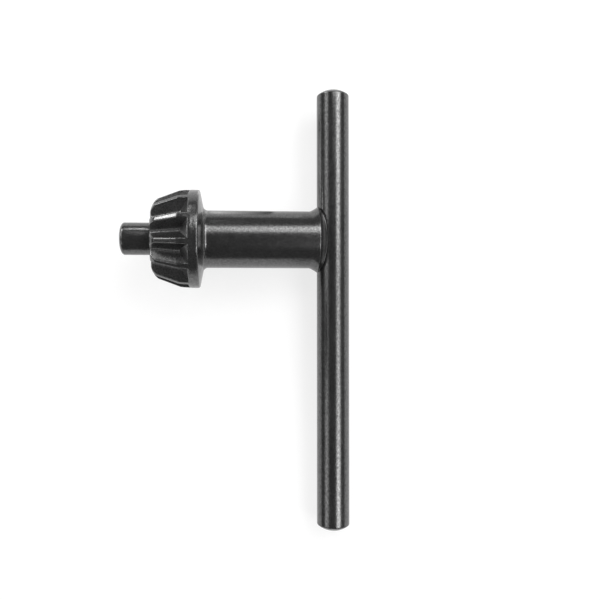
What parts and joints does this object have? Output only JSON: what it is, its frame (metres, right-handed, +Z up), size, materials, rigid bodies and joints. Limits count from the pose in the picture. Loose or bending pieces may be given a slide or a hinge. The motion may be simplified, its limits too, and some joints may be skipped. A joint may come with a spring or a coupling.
{
  "type": "drill chuck key",
  "caption": "Blackened steel drill chuck key with a pilot, a bevel gear and a round shank welded to an off-centre tee handle.",
  "frame": {"origin": "on the surface that the key lies on, below the middle of its box", "axes": "+Z up; the pilot points to -X and a little up, the handle lies along Y with its long arm towards -Y"},
  "size_m": [0.0414, 0.0804, 0.0177],
  "materials": {
    "stem_black_oxide": "black oxide on forged and turned steel, satin",
    "handle_black_oxide": "black oxide on drawn steel rod, satin"
  },
  "bodies": {
    "root": {"gear_shank": "stem_black_oxide", "tee_handle": "handle_black_oxide"}
  },
  "joints": []
}
